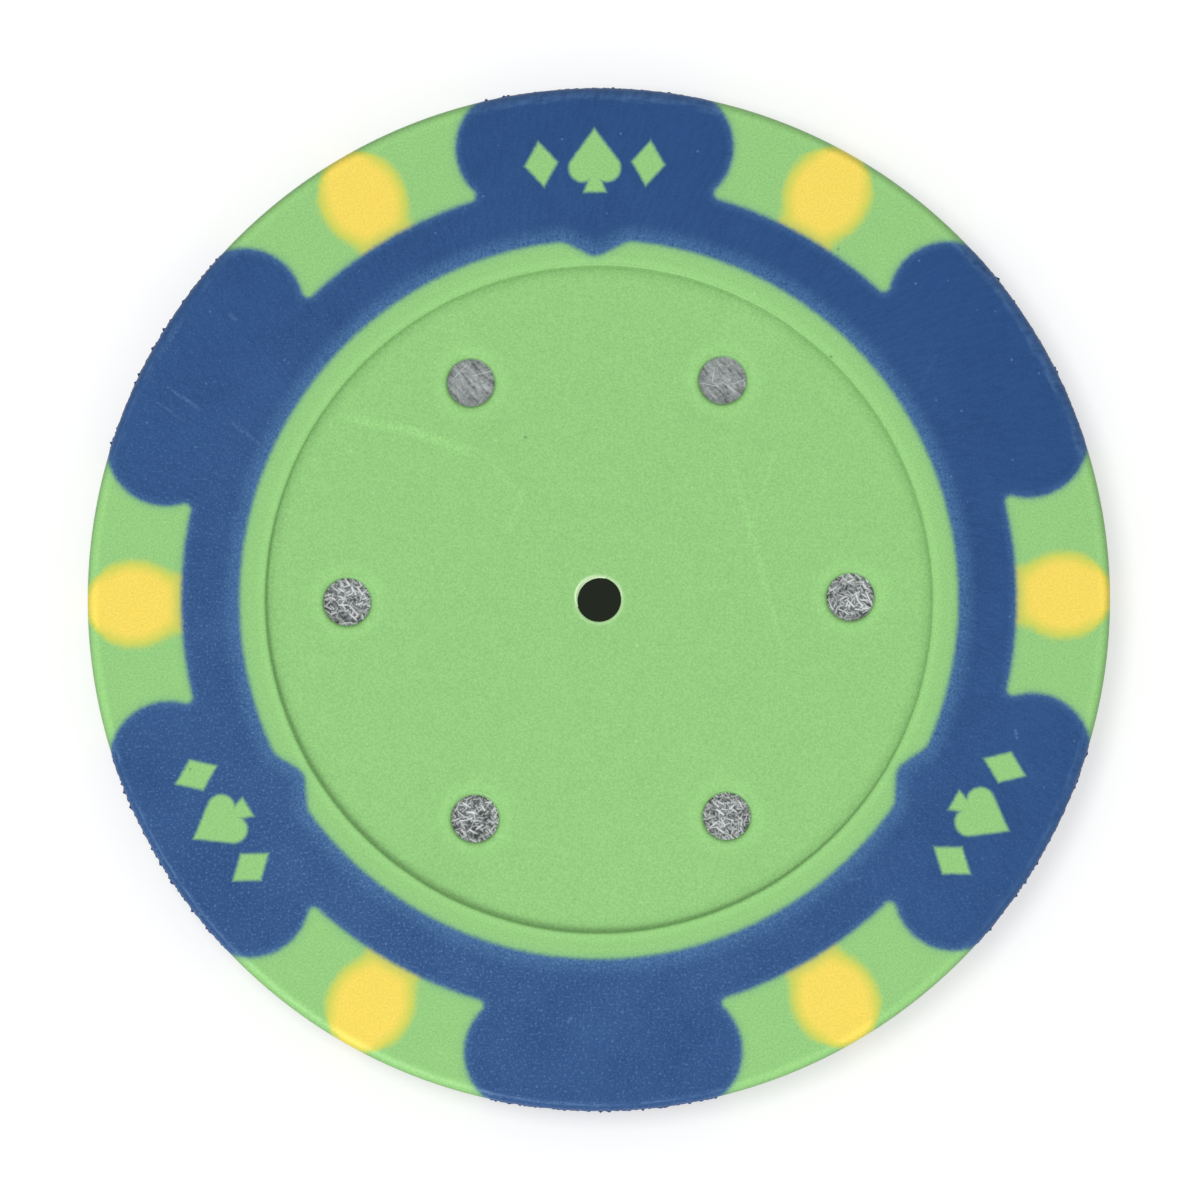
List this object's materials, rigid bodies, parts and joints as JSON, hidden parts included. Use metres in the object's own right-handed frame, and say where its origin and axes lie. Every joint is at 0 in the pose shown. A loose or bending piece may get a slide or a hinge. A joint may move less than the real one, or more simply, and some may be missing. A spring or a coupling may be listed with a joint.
{
  "type": "poker chip",
  "caption": "Round moulded playing chip with a steel weight slug, a lobed ring let into both faces, rim spots keyed under it, a label recess in each face and a small middle hole.",
  "frame": {"origin": "middle of the face that the chip lies on", "axes": "+Z out of the front face, along the middle hole; +X through the middle of a rim spot"},
  "size_m": [0.039, 0.039, 0.0033],
  "materials": {
    "slug_steel": "scratched bare steel",
    "green_plastic": "matte moulded, light green",
    "blue_plastic": "matte moulded, dark blue, lightly scuffed",
    "yellow_plastic": "matte moulded, warm yellow"
  },
  "bodies": {
    "root": {"weight_slug": "slug_steel", "core_body": "green_plastic", "edge_ring": "blue_plastic", "rim_spot_1": "yellow_plastic", "rim_spot_2": "yellow_plastic", "rim_spot_3": "yellow_plastic", "rim_spot_4": "yellow_plastic", "rim_spot_5": "yellow_plastic", "rim_spot_6": "yellow_plastic"}
  },
  "joints": []
}
